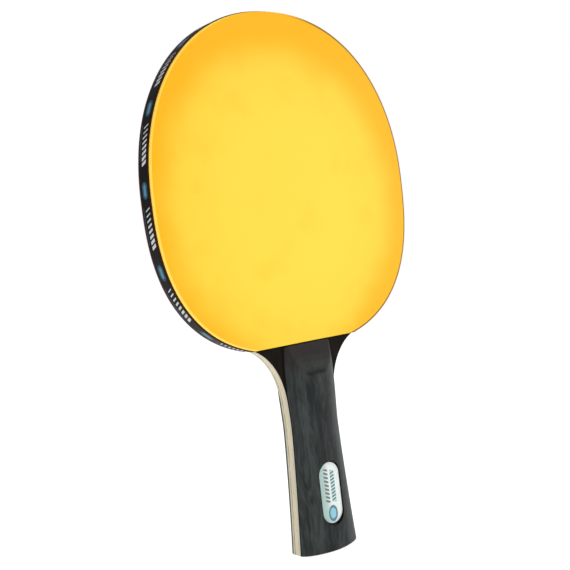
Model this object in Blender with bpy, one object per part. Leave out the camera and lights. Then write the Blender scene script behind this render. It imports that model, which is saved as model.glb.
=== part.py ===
"""Table tennis paddle with a flared handle.

The blade is five wooden plies. Each face of the head carries a sponge and a pimpled top sheet,
a tape covers the edge of the head, two scales make the handle, and a badge is let into the front
scale.

Frame: the origin is the centre of the butt's end face. +Z runs up the handle to the head,
-Y points out of the front face and +X to the right as seen from the front. All lengths are metres.
"""

import math

import bmesh
import bpy

MM = 0.001

# Overall size
TOTAL_LENGTH = 258.0 * MM
HEAD_WIDTH = 150.8 * MM  # over the edge tape
GLUE_LINE = 0.05 * MM  # gap between pieces glued face to face
CLEARANCE = 0.3 * MM  # gap between pieces that are cut to each other

# Edge tape
TAPE_THICKNESS = 0.35 * MM
TAPE_WIDTH = 8.5 * MM
TAPE_CENTRE_Y = 0.6 * MM  # the tape sits a little toward the rear face
TAPE_BUILD_UP = GLUE_LINE + TAPE_THICKNESS  # how far the tape stands off the blade's edge

# Head outline: two half superellipses that share the widest line
BLADE_HALF_WIDTH = HEAD_WIDTH / 2 - TAPE_BUILD_UP
WIDEST_Z = 173.2 * MM
UPPER_HEIGHT = TOTAL_LENGTH - TAPE_BUILD_UP - WIDEST_Z
UPPER_EXPONENT = 2.17
LOWER_HEIGHT = 76.0 * MM
LOWER_EXPONENT = 2.55
HEAD_CORNER_HALF_WIDTH = 31.0 * MM  # where the head outline meets the neck
HEAD_STEPS = 31  # points from one corner of the head to its top

# Neck and handle outline
WAIST_HALF_WIDTH = 13.8 * MM
WAIST_Z = 60.0 * MM
SHOULDER_WIDENING = 0.7 * MM  # how much wider the handle gets again above the waist, per side
SHOULDER_LENGTH = 20.0 * MM  # over this length
SHOULDER_STEPS = 5
NECK_START_Z = 72.0 * MM
NECK_RISE = 23.0 * MM  # length of the neck curve's lower control handle
NECK_RUN = 0.6 * MM  # length of its upper control handle
NECK_STEPS = 12
FLARE = 3.4 * MM  # how much wider the butt is than the waist, per side
FLARE_EXPONENT = 1.35
FLARE_STEPS = 8
BUTT_CORNER_RADIUS = 0.4 * MM
BUTT_CORNER_STEPS = 2

# Blade plies, from the middle outwards
CORE_THICKNESS = 2.8 * MM
INNER_PLY_THICKNESS = 1.0 * MM
OUTER_PLY_THICKNESS = 0.5 * MM

# Rubbers
SPONGE_THICKNESS = 0.6 * MM
TOPSHEET_THICKNESS = 1.5 * MM
TOPSHEET_INSET = 0.1 * MM  # the top sheet's edge lies this far inside the blade's edge

# Handle scales
SCALE_HEIGHT = 8.0 * MM  # from its flat back to the crown
SCALE_GAP_TO_RUBBER = 0.5 * MM
SCALE_EXPONENT = 1.71  # 2 would be an exact half ellipse
SCALE_ARC_STEPS = 18
SCALE_SHAFT_STEPS = 4  # cross sections between the shoulder and the tapered end
SCALE_TAPER = 0.7 * MM  # how much narrower the top end is, per side
SCALE_TAPER_LENGTH = 12.0 * MM
SCALE_END_CORNER = 1.2 * MM
SCALE_END_CORNER_STEPS = 3
SCALE_BUTT_EDGE = 0.5 * MM

# Thumb rest: a hollow across the top end of each scale
SCOOP_RADIUS = 40.0 * MM
SCOOP_LENGTH = 15.25 * MM  # from the crown to the scale's end
SCOOP_END_HEIGHT = 2.2 * MM  # what it leaves of the scale's height at its end
SCOOP_STEPS = 120
SCOOP_HALF_WIDTH = 20.0 * MM

# Badge
BADGE_Z = 27.4 * MM  # its centre
POCKET_LENGTH = 30.0 * MM
POCKET_WIDTH = 12.6 * MM
POCKET_FLOOR_Y = -8.8 * MM
BADGE_PLATE_THICKNESS = 0.5 * MM
BADGE_DOME_EDGE = 0.2 * MM
BADGE_DOME_RISE = 0.4 * MM
BADGE_DOME_SHOULDER = 3.4 * MM  # how far in from its edge the dome stops rising
BADGE_DOME_STEPS = 4
CAPSULE_ARC_STEPS = 12

SMOOTH_ANGLE = math.radians(32)


# Colours and materials


def linear(code):
    """Linear value of an 8-bit display colour code."""
    share = code / 255
    if share <= 0.04045:
        return share / 12.92
    return ((share + 0.055) / 1.055) ** 2.4


def material(name, codes, roughness, metallic=0.0, alpha=1.0):
    made = bpy.data.materials.new(name)
    made.use_nodes = True
    shader = made.node_tree.nodes["Principled BSDF"]
    colour = [linear(code) for code in codes] + [1.0]
    shader.inputs["Base Color"].default_value = colour
    shader.inputs["Roughness"].default_value = roughness
    shader.inputs["Metallic"].default_value = metallic
    shader.inputs["Alpha"].default_value = alpha
    made.diffuse_color = colour[:3] + [alpha]
    return made


# Outlines, as lists of (x, z) points


def even_steps(curve, start, end, steps):
    """Points at equal distances along curve(t), from t = start to t = end."""
    fine = 2000
    points = [curve(start + (end - start) * i / fine) for i in range(fine + 1)]
    reached = [0.0]
    for a, b in zip(points, points[1:]):
        reached.append(reached[-1] + math.dist(a, b))
    chosen = []
    index = 0
    for step in range(steps):
        wanted = reached[-1] * step / (steps - 1)
        while index < fine and reached[index] < wanted - 1e-12:
            index += 1
        chosen.append(points[index])
    return chosen


def head_curve(angle):
    """Point of the head outline: angle 0 is the widest line at +X, and a quarter turn the top."""
    rising = math.sin(angle)
    height = UPPER_HEIGHT if rising >= 0 else LOWER_HEIGHT
    exponent = UPPER_EXPONENT if rising >= 0 else LOWER_EXPONENT
    x = BLADE_HALF_WIDTH * abs(math.cos(angle)) ** (2 / exponent)
    z = WIDEST_Z + math.copysign(height * abs(rising) ** (2 / exponent), rising)
    return (math.copysign(x, math.cos(angle)), z)


def head_corner_angle():
    """Angle at which the head outline has its corner's half width."""
    share = HEAD_CORNER_HALF_WIDTH / BLADE_HALF_WIDTH
    return -math.acos(share ** (LOWER_EXPONENT / 2))


def head_half():
    """Right half of the head, from its corner beside the neck to its top."""
    points = even_steps(head_curve, head_corner_angle(), math.pi / 2, HEAD_STEPS)
    points[-1] = (0.0, points[-1][1])
    return points


def head_arc():
    """The head from its right corner over the top to its left corner."""
    right = head_half()
    return right + mirrored(right[:-1])


def rubber_bottom_z():
    return head_curve(head_corner_angle())[1]


def mirrored(points):
    """The points on the other side of x = 0, in reverse order."""
    return [(-x, z) for x, z in reversed(points)]


def unit(start, end):
    """Direction from one point to another, as a vector of length 1."""
    run = math.dist(start, end)
    return ((end[0] - start[0]) / run, (end[1] - start[1]) / run)


def neck_half():
    """Right side of the neck: a cubic curve from the handle out to the head's corner."""
    step = 0.1 * MM
    start = (handle_half_width(NECK_START_Z), NECK_START_Z)
    below = (handle_half_width(NECK_START_Z - step), NECK_START_Z - step)
    up_handle = unit(below, start)
    corner = head_curve(head_corner_angle())
    toward_handle = unit(corner, head_curve(head_corner_angle() - 0.001))
    p1 = (start[0] + up_handle[0] * NECK_RISE, start[1] + up_handle[1] * NECK_RISE)
    p2 = (corner[0] + toward_handle[0] * NECK_RUN, corner[1] + toward_handle[1] * NECK_RUN)

    def curve(t):
        weights = ((1 - t) ** 3, 3 * (1 - t) ** 2 * t, 3 * (1 - t) * t**2, t**3)
        return tuple(sum(w * p[k] for w, p in zip(weights, (start, p1, p2, corner))) for k in (0, 1))

    return even_steps(curve, 0.0, 1.0, NECK_STEPS)[:-1]


def rounded_end(distance, radius):
    """How far a corner of that radius draws a side in, at that distance from the end."""
    if distance >= radius:
        return 0.0
    return radius - math.sqrt(radius**2 - (radius - distance) ** 2)


def smooth_step(share):
    """Rises from 0 to 1 as share does, and levels off at both ends."""
    held = min(1.0, max(0.0, share))
    return held * held * (3 - 2 * held)


def handle_half_width(z):
    """Half width of the handle: flared at the butt, narrowest at the waist, a little wider above."""
    flare = FLARE * (max(0.0, WAIST_Z - z) / WAIST_Z) ** FLARE_EXPONENT
    widening = SHOULDER_WIDENING * smooth_step((z - WAIST_Z) / SHOULDER_LENGTH)
    return WAIST_HALF_WIDTH + flare + widening - rounded_end(z, BUTT_CORNER_RADIUS)


def handle_heights():
    """The heights from the butt to the waist at which blade and scales have their points."""
    corner = [
        BUTT_CORNER_RADIUS * (1 - math.cos(math.pi / 2 * i / BUTT_CORNER_STEPS))
        for i in range(BUTT_CORNER_STEPS + 1)
    ]
    rise = WAIST_Z - BUTT_CORNER_RADIUS
    flare = [BUTT_CORNER_RADIUS + rise * i / FLARE_STEPS for i in range(1, FLARE_STEPS + 1)]
    return corner + flare


def shoulder_heights():
    """The heights above the waist at which the handle widens again."""
    return [WAIST_Z + SHOULDER_LENGTH * i / SHOULDER_STEPS for i in range(1, SHOULDER_STEPS + 1)]


def blade_outline():
    below_neck = [z for z in shoulder_heights() if z < NECK_START_Z - CLEARANCE]
    right = [(handle_half_width(z), z) for z in handle_heights() + below_neck]
    right += neck_half() + head_half()
    return right + mirrored(right[:-1])


def rubber_outline(inset):
    """The head outline, closed straight across beside the handle."""
    arc = offset_arc(head_arc(), -inset)
    arc[0] = (arc[0][0], rubber_bottom_z())
    arc[-1] = (arc[-1][0], rubber_bottom_z())
    return arc


def offset_arc(arc, distance):
    """The arc moved sideways by that distance, away from the head's middle if it is positive."""
    moved = []
    for i, (x, z) in enumerate(arc):
        before = arc[max(i - 1, 0)]
        after = arc[min(i + 1, len(arc) - 1)]
        run = math.dist(before, after)
        along = ((after[0] - before[0]) / run, (after[1] - before[1]) / run)
        moved.append((x + along[1] * distance, z - along[0] * distance))
    return moved


def capsule(length, width, centre_z):
    """An upright slot shape with round ends."""
    radius = width / 2
    straight = length / 2 - radius
    points = []
    for end in (1, -1):
        for i in range(CAPSULE_ARC_STEPS + 1):
            angle = math.pi * i / CAPSULE_ARC_STEPS + (0 if end > 0 else math.pi)
            x = radius * math.cos(angle)
            points.append((x, centre_z + end * straight + radius * math.sin(angle)))
    return points


# Solids


def finish_object(name, mesh_data, made_material, smooth=True):
    bmesh.ops.recalc_face_normals(mesh_data, faces=mesh_data.faces)
    mesh = bpy.data.meshes.new(name)
    mesh_data.to_mesh(mesh)
    mesh_data.free()
    if smooth:
        mesh.shade_smooth()
        mesh.set_sharp_from_angle(angle=SMOOTH_ANGLE)
    made = bpy.data.objects.new(name, mesh)
    bpy.context.scene.collection.objects.link(made)
    if made_material:
        made.data.materials.append(made_material)
    return made


def add_ring(mesh_data, points, y):
    return [mesh_data.verts.new((x, y, z)) for x, z in points]


def join_rings(mesh_data, first, second):
    count = len(first)
    for i in range(count):
        j = (i + 1) % count
        mesh_data.faces.new((first[i], first[j], second[j], second[i]))


def plate(name, outline, y_from, y_to, made_material):
    """A flat sheet of that outline, between two planes across the Y axis."""
    mesh_data = bmesh.new()
    near = add_ring(mesh_data, outline, y_from)
    far = add_ring(mesh_data, outline, y_to)
    join_rings(mesh_data, near, far)
    mesh_data.faces.new(near)
    mesh_data.faces.new(far)
    return finish_object(name, mesh_data, made_material)


def add_plies(materials):
    """The blade. Returns the distance from the middle to its face."""
    outline = blade_outline()
    reach = CORE_THICKNESS / 2
    plate("blade_core", outline, -reach, reach, materials["core_wood"])
    layers = (
        ("blade_inner_ply", INNER_PLY_THICKNESS, "ply_wood"),
        ("blade_outer_ply", OUTER_PLY_THICKNESS, "black_veneer"),
    )
    for name, thickness, slot in layers:
        low = reach + GLUE_LINE
        high = low + thickness
        plate(name + "_front", outline, -high, -low, materials[slot])
        plate(name + "_rear", outline, low, high, materials[slot])
        reach = high
    return reach


def add_rubbers(blade_face, materials):
    """A sponge and a top sheet on each face of the head."""
    sponge_low = blade_face + GLUE_LINE
    sponge_high = sponge_low + SPONGE_THICKNESS
    sheet_low = sponge_high + GLUE_LINE
    sheet_high = sheet_low + TOPSHEET_THICKNESS
    for side, sign in (("front", -1), ("rear", 1)):
        sponge = rubber_outline(0.0)
        plate("sponge_" + side, sponge, sign * sponge_low, sign * sponge_high, materials["sponge"])
        sheet = rubber_outline(TOPSHEET_INSET)
        slot = materials["topsheet_" + side]
        plate("topsheet_" + side, sheet, sign * sheet_low, sign * sheet_high, slot)


def add_edge_tape(materials):
    """A band that follows the head's edge from one side of the neck to the other."""
    inner = offset_arc(head_arc(), GLUE_LINE)
    outer = offset_arc(head_arc(), TAPE_BUILD_UP)
    front = TAPE_CENTRE_Y - TAPE_WIDTH / 2
    rear = TAPE_CENTRE_Y + TAPE_WIDTH / 2
    mesh_data = bmesh.new()
    sections = []
    for (xi, zi), (xo, zo) in zip(inner, outer):
        corners = ((xi, front, zi), (xo, front, zo), (xo, rear, zo), (xi, rear, zi))
        sections.append([mesh_data.verts.new(corner) for corner in corners])
    for first, second in zip(sections, sections[1:]):
        join_rings(mesh_data, first, second)
    mesh_data.faces.new(sections[0])
    mesh_data.faces.new(sections[-1])
    finish_object("edge_tape", mesh_data, materials["edge_tape"])


def scale_heights(top):
    """Where a scale has its cross sections: closest together where it rounds off."""
    levels = handle_heights() + shoulder_heights()
    shoulder_end = levels[-1]
    corner_start = top - SCALE_END_CORNER
    rise = corner_start - shoulder_end
    levels += [shoulder_end + rise * i / SCALE_SHAFT_STEPS for i in range(1, SCALE_SHAFT_STEPS + 1)]
    for i in range(1, SCALE_END_CORNER_STEPS + 1):
        turn = math.pi / 2 * i / SCALE_END_CORNER_STEPS
        levels.append(corner_start + SCALE_END_CORNER * math.sin(turn))
    return levels


def scale_section(z, top):
    """Half width and height of a scale at that level."""
    taper = SCALE_TAPER * smooth_step(1 - (top - z) / SCALE_TAPER_LENGTH)
    half_width = handle_half_width(z) - taper - rounded_end(top - z, SCALE_END_CORNER)
    height = SCALE_HEIGHT - rounded_end(z, SCALE_BUTT_EDGE)
    return half_width, height


def add_scale(name, sign, base, made_material):
    """A handle scale: domed cross sections on the blade's face, lofted along the handle."""
    top = rubber_bottom_z() - SCALE_GAP_TO_RUBBER
    mesh_data = bmesh.new()
    sections = []
    for z in scale_heights(top):
        half_width, height = scale_section(z, top)
        section = []
        for i in range(SCALE_ARC_STEPS + 1):
            angle = math.pi * i / SCALE_ARC_STEPS
            across = abs(math.cos(angle)) ** (2 / SCALE_EXPONENT)
            up = abs(math.sin(angle)) ** (2 / SCALE_EXPONENT) if 0 < i < SCALE_ARC_STEPS else 0
            x = half_width * math.copysign(across, math.cos(angle))
            section.append(mesh_data.verts.new((x, sign * (base + height * up), z)))
        sections.append(section)
    for first, second in zip(sections, sections[1:]):
        join_rings(mesh_data, first, second)
    mesh_data.faces.new(sections[0])
    mesh_data.faces.new(sections[-1])
    scale = finish_object(name, mesh_data, made_material)
    cut_scoop(scale, sign, base, top)
    return scale


def subtract(target, cutter, name):
    cutter.hide_render = True
    cutter.display_type = "WIRE"
    cut = target.modifiers.new(name, "BOOLEAN")
    cut.operation = "DIFFERENCE"
    cut.object = cutter


def cut_scoop(scale, sign, base, top):
    """A round hollow across the scale, from its crown down to its top end."""
    crown = (base + SCALE_HEIGHT, top - SCOOP_LENGTH)
    end = (base + SCOOP_END_HEIGHT, top)
    half_chord = math.dist(crown, end) / 2
    toward_end = unit(crown, end)
    to_axis = math.sqrt(SCOOP_RADIUS**2 - half_chord**2)
    axis_y = (crown[0] + end[0]) / 2 + toward_end[1] * to_axis
    axis_z = (crown[1] + end[1]) / 2 - toward_end[0] * to_axis
    mesh_data = bmesh.new()
    ends = []
    for x in (-SCOOP_HALF_WIDTH, SCOOP_HALF_WIDTH):
        ring = []
        for i in range(SCOOP_STEPS):
            angle = 2 * math.pi * i / SCOOP_STEPS
            y = axis_y + SCOOP_RADIUS * math.cos(angle)
            z = axis_z + SCOOP_RADIUS * math.sin(angle)
            ring.append(mesh_data.verts.new((x, sign * y, z)))
        ends.append(ring)
        mesh_data.faces.new(ring)
    join_rings(mesh_data, ends[0], ends[1])
    cutter = finish_object(scale.name + "_scoop_cutter", mesh_data, None)
    subtract(scale, cutter, "scoop")


def cut_badge_pocket(scale):
    """A round-ended pocket with a flat floor in the crown of the scale."""
    outline = capsule(POCKET_LENGTH, POCKET_WIDTH, BADGE_Z)
    beyond = POCKET_FLOOR_Y - SCALE_HEIGHT
    cutter = plate("badge_pocket_cutter", outline, POCKET_FLOOR_Y, beyond, None)
    subtract(scale, cutter, "badge_pocket")


def add_badge(materials):
    """A thin plate on the pocket's floor, with a clear dome over it."""
    length = POCKET_LENGTH - 2 * CLEARANCE
    width = POCKET_WIDTH - 2 * CLEARANCE
    plate_back = POCKET_FLOOR_Y - GLUE_LINE
    plate_face = plate_back - BADGE_PLATE_THICKNESS
    outline = capsule(length, width, BADGE_Z)
    plate("badge_plate", outline, plate_back, plate_face, materials["badge_plate"])
    mesh_data = bmesh.new()
    dome_back = plate_face - GLUE_LINE
    rings = [add_ring(mesh_data, outline, dome_back)]
    for i in range(BADGE_DOME_STEPS + 1):
        angle = math.pi / 2 * i / BADGE_DOME_STEPS
        inset = BADGE_DOME_SHOULDER * (1 - math.cos(angle))
        y = dome_back - BADGE_DOME_EDGE - BADGE_DOME_RISE * math.sin(angle)
        ring = capsule(length - 2 * inset, width - 2 * inset, BADGE_Z)
        rings.append(add_ring(mesh_data, ring, y))
    for first, second in zip(rings, rings[1:]):
        join_rings(mesh_data, first, second)
    mesh_data.faces.new(rings[0])
    mesh_data.faces.new(rings[-1])
    finish_object("badge_dome", mesh_data, materials["badge_dome"])


def make_materials():
    return {
        "core_wood": material("core_wood", (206, 196, 165), 0.6),
        "ply_wood": material("ply_wood", (198, 188, 160), 0.6),
        "black_veneer": material("black_veneer", (38, 33, 29), 0.4),
        "sponge": material("sponge", (52, 30, 24), 0.9),
        "topsheet_front": material("topsheet_front", (252, 212, 72), 0.5),
        "topsheet_rear": material("topsheet_rear", (150, 26, 24), 0.5),
        "edge_tape": material("edge_tape", (38, 34, 38), 0.45),
        "handle_wood": material("handle_wood", (64, 68, 68), 0.45),
        "badge_plate": material("badge_plate", (214, 220, 220), 0.3, 0.6),
        "badge_dome": material("badge_dome", (240, 245, 245), 0.05, 0.0, 0.3),
    }


def main():
    for found in list(bpy.data.objects):
        bpy.data.objects.remove(found)
    materials = make_materials()
    blade_face = add_plies(materials)
    add_rubbers(blade_face, materials)
    add_edge_tape(materials)
    scale_base = blade_face + GLUE_LINE
    front = add_scale("handle_scale_front", -1, scale_base, materials["handle_wood"])
    add_scale("handle_scale_rear", 1, scale_base, materials["handle_wood"])
    cut_badge_pocket(front)
    add_badge(materials)


main()
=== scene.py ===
"""Looks of the table tennis paddle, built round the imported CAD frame.

Every CAD piece is replaced by a finer mesh of the same shape and place. Sizes are metres in the
frame's own axes: the butt's end face is at z = 0, +Z runs up the handle and -Y is the front.
"""

import math

import bmesh
import bpy
from mathutils import Matrix, Vector, noise


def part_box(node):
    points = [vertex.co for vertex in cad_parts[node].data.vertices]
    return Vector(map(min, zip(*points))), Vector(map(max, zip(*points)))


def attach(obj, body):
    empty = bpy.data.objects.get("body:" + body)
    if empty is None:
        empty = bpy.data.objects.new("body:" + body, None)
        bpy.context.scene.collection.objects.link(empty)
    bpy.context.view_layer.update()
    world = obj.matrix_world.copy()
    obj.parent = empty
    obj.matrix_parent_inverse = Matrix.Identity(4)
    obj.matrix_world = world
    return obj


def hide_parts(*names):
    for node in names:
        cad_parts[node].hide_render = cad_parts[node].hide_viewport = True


MM = 0.001

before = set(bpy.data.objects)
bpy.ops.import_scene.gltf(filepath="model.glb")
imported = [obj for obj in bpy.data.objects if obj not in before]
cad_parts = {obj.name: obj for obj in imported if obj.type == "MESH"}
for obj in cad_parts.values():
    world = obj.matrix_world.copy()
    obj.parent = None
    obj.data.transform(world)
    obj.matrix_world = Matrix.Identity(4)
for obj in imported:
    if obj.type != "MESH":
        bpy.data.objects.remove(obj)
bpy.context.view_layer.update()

# Blender's vector noise starts from the clock unless it is seeded
NOISE_SEED = 7
noise.seed_set(NOISE_SEED)

# Places and sizes that the frame gives
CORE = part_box("blade_core")
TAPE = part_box("edge_tape")
SHEET_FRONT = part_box("topsheet_front")
SCALE_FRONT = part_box("handle_scale_front")
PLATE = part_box("badge_plate")
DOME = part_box("badge_dome")
BLADE_HALF_WIDTH = CORE[1].x
BLADE_TOP = CORE[1].z
BLADE_HALF_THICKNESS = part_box("blade_outer_ply_rear")[1].y
RUBBER_BOTTOM = SHEET_FRONT[0].z
SCALE_TOP = SCALE_FRONT[1].z
SCALE_BASE = -SCALE_FRONT[1].y
SCALE_CROWN = -SCALE_FRONT[0].y
SHEET_INSET = BLADE_HALF_WIDTH - SHEET_FRONT[1].x
BADGE_Z = (PLATE[0].z + PLATE[1].z) / 2

# Shape rules shared with the CAD part
WIDEST_Z = 173.2 * MM
UPPER_EXPONENT = 2.17
LOWER_HEIGHT = 76.0 * MM
LOWER_EXPONENT = 2.55
HEAD_CORNER_HALF_WIDTH = 31.0 * MM
WAIST_HALF_WIDTH = 13.8 * MM
WAIST_Z = 60.0 * MM
SHOULDER_WIDENING = 0.7 * MM
SHOULDER_LENGTH = 20.0 * MM
NECK_START_Z = 72.0 * MM
NECK_RISE = 23.0 * MM
NECK_RUN = 0.6 * MM
FLARE = 3.4 * MM
FLARE_EXPONENT = 1.35
SCALE_EXPONENT = 1.71
SCALE_TAPER = 0.7 * MM
SCALE_TAPER_LENGTH = 12.0 * MM
SCALE_END_CORNER = 1.2 * MM
SCOOP_RADIUS = 40.0 * MM
SCOOP_LENGTH = 15.25 * MM
SCOOP_END_HEIGHT = 2.2 * MM
POCKET_MARGIN = 0.3 * MM
POCKET_FLOOR_Y = -8.8 * MM

# The pocket's flared mouth, which the CAD part hasn't: it widens from this height above the middle plane
MOUTH_START = 9.6 * MM
MOUTH_SLOPE = 0.4

# Rubber: thicknesses, and the rows of pips beside the straight edge, the only ones that can be seen
SKIN = 1.0 * MM
BORDER_WIDTH = 1.0 * MM
PIP_ROWS = 8
PIP_PITCH = 2.2 * MM
PIP_MARGIN = 1.0 * MM
PIP_RADIUS = 0.8 * MM

# Lights: name, place, diameter and power of each disk, all aimed at the middle of the paddle
LIGHTS = (
    ("key", (0.5, -0.9, 0.8), 0.6, 2.7),
    ("right", (1.0, -0.25, 0.3), 0.5, 2.2),
    ("left", (-1.0, -0.1, 0.35), 0.6, 2.3),
    ("top", (0.0, 0.2, 1.6), 1.2, 2.2),
)
LIGHT_TARGET = (0.0, 0.0, 0.13)
SURROUND = 0.45
FLOOR_GLOW = 0.64
WHITE = (1.0, 1.0, 1.0, 1.0)

# Fineness of the meshes
HEAD_STEPS = 150
NECK_STEPS = 44
HANDLE_STEPS = 46
SCALE_LEVELS = 150
DOME_POINTS = 22
FLAT_POINTS = 20
SHARP_ANGLE = math.radians(40)


# Outlines, as lists of (x, z) points


def smooth_step(share):
    """Rises from 0 to 1 as share does, and levels off at both ends."""
    held = min(1.0, max(0.0, share))
    return held * held * (3 - 2 * held)


def running_lengths(points):
    """How far along the line each of its points is."""
    reached = [0.0]
    for a, b in zip(points, points[1:]):
        reached.append(reached[-1] + math.dist(a, b))
    return reached


def even_steps(curve, start, end, steps):
    """Points at nearly equal distances along curve(t), from t = start to t = end."""
    fine = 4000
    points = [curve(start + (end - start) * i / fine) for i in range(fine + 1)]
    reached = running_lengths(points)
    chosen = []
    index = 0
    for step in range(steps):
        wanted = reached[-1] * step / (steps - 1)
        while index < fine and reached[index] < wanted - 1e-12:
            index += 1
        chosen.append(points[index])
    return chosen


def unit(start, end):
    """Direction from one point to another."""
    run = math.dist(start, end)
    return ((end[0] - start[0]) / run, (end[1] - start[1]) / run)


def mirrored(points):
    return [(-x, z) for x, z in reversed(points)]


def head_curve(angle):
    """Point of the head outline: angle 0 is the widest line at +X, and a quarter turn the top."""
    rising = math.sin(angle)
    height = BLADE_TOP - WIDEST_Z if rising >= 0 else LOWER_HEIGHT
    exponent = UPPER_EXPONENT if rising >= 0 else LOWER_EXPONENT
    x = BLADE_HALF_WIDTH * abs(math.cos(angle)) ** (2 / exponent)
    z = WIDEST_Z + math.copysign(height * abs(rising) ** (2 / exponent), rising)
    return (math.copysign(x, math.cos(angle)), z)


def head_corner_angle():
    share = HEAD_CORNER_HALF_WIDTH / BLADE_HALF_WIDTH
    return -math.acos(share ** (LOWER_EXPONENT / 2))


def head_half():
    """Right half of the head, from its corner beside the neck to its top."""
    points = even_steps(head_curve, head_corner_angle(), math.pi / 2, HEAD_STEPS)
    points[-1] = (0.0, points[-1][1])
    return points


def head_arc():
    """The open head outline, from its right corner over the top to its left one."""
    right = head_half()
    return right + mirrored(right[:-1])


def handle_half_width(z):
    """Half width of the handle: flared at the butt, narrowest at the waist, a little wider above."""
    flare = FLARE * (max(0.0, WAIST_Z - z) / WAIST_Z) ** FLARE_EXPONENT
    return WAIST_HALF_WIDTH + flare + SHOULDER_WIDENING * smooth_step((z - WAIST_Z) / SHOULDER_LENGTH)


def neck_half():
    """Right side of the neck: a cubic curve from the handle out to the head's corner."""
    step = 0.1 * MM
    small_turn = 0.001
    start = (handle_half_width(NECK_START_Z), NECK_START_Z)
    up_handle = unit((handle_half_width(NECK_START_Z - step), NECK_START_Z - step), start)
    corner = head_curve(head_corner_angle())
    toward_handle = unit(corner, head_curve(head_corner_angle() - small_turn))
    p1 = (start[0] + up_handle[0] * NECK_RISE, start[1] + up_handle[1] * NECK_RISE)
    p2 = (corner[0] + toward_handle[0] * NECK_RUN, corner[1] + toward_handle[1] * NECK_RUN)

    def curve(t):
        weights = ((1 - t) ** 3, 3 * (1 - t) ** 2 * t, 3 * (1 - t) * t**2, t**3)
        return tuple(sum(w * p[k] for w, p in zip(weights, (start, p1, p2, corner))) for k in (0, 1))

    return even_steps(curve, 0.0, 1.0, NECK_STEPS)[:-1]


def blade_outline():
    """The whole blade, closed across the butt."""
    levels = [NECK_START_Z * i / HANDLE_STEPS for i in range(HANDLE_STEPS)]
    right = [(handle_half_width(z), z) for z in levels] + neck_half() + head_half()
    return right + mirrored(right[:-1])


def offset_arc(arc, distance):
    """The open arc moved sideways, away from the head's middle if distance is positive."""
    moved = []
    for i, (x, z) in enumerate(arc):
        along = unit(arc[max(i - 1, 0)], arc[min(i + 1, len(arc) - 1)])
        moved.append((x + along[1] * distance, z - along[0] * distance))
    return moved


def shrunk(outline, distance):
    """A closed outline with every point moved in along the mean of its two sides' normals."""
    count = len(outline)
    sharpest = 0.5
    moved = []
    for i, (x, z) in enumerate(outline):
        before = unit(outline[i - 1], (x, z))
        after = unit((x, z), outline[(i + 1) % count])
        along = (before[0] + after[0], before[1] + after[1])
        size = math.hypot(*along)
        share = 2 / size**2 if size > sharpest else 1.0
        moved.append((x - along[1] * distance * share, z + along[0] * distance * share))
    return moved


def rubber_outline(inset, lift=0.0, bottom_steps=60):
    """The head outline inset a little, closed straight across beside the handle."""
    arc = offset_arc(head_arc(), -inset)
    bottom = RUBBER_BOTTOM + lift
    least_gap = 0.05 * MM
    right = arc[0][0] - lift
    kept = [p for p in arc if p[1] > bottom + least_gap]
    closing = [(-right + 2 * right * i / bottom_steps, bottom) for i in range(1, bottom_steps)]
    return [(right, bottom)] + kept + [(-right, bottom)] + closing


def capsule(length, width, centre_z, arc_steps=40):
    """An upright slot shape with round ends."""
    radius = width / 2
    straight = length / 2 - radius
    points = []
    for end in (1, -1):
        for i in range(arc_steps + 1):
            angle = math.pi * i / arc_steps + (0 if end > 0 else math.pi)
            points.append((radius * math.cos(angle), centre_z + end * straight + radius * math.sin(angle)))
    return points


# Meshes


def make_object(name, mesh_data, material):
    """The finished mesh as an object, smooth but for its sharp edges."""
    bmesh.ops.recalc_face_normals(mesh_data, faces=mesh_data.faces)
    mesh = bpy.data.meshes.new(name)
    mesh_data.to_mesh(mesh)
    mesh_data.free()
    mesh.shade_smooth()
    mesh.set_sharp_from_angle(angle=SHARP_ANGLE)
    made = bpy.data.objects.new(name, mesh)
    bpy.context.scene.collection.objects.link(made)
    if material:
        mesh.materials.append(material)
    return made


def stand_in(piece, node, slot):
    """The piece takes that CAD node's place."""
    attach(piece, "root")
    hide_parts(node)
    return piece


def join_sections(mesh_data, sections):
    """A closed body through rings of points, with a flat face on the first and the last."""
    for first, second in zip(sections, sections[1:]):
        for i in range(len(first)):
            j = (i + 1) % len(first)
            mesh_data.faces.new((first[i], first[j], second[j], second[i]))
    mesh_data.faces.new(sections[0])
    mesh_data.faces.new(sections[-1])


def slab(mesh_data, rings):
    """A closed body through rings of (outline, y)."""
    sections = []
    for outline, y in rings:
        sections.append([mesh_data.verts.new((x, y, z)) for x, z in outline])
    join_sections(mesh_data, sections)


def eased_plate(mesh_data, outline, y_from, y_to, edge):
    """A flat sheet with its two rims eased by a narrow chamfer."""
    small = shrunk(outline, edge)
    slab(mesh_data, [(small, y_from), (outline, y_from + edge), (outline, y_to - edge), (small, y_to)])


# Node materials


def linear(code):
    """Linear value of an 8-bit display colour code."""
    share = code / 255
    return share / 12.92 if share <= 0.04045 else ((share + 0.055) / 1.055) ** 2.4


def colour(*codes):
    """A linear colour from its three display codes."""
    return tuple(linear(code) for code in codes) + (1.0,)


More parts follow.
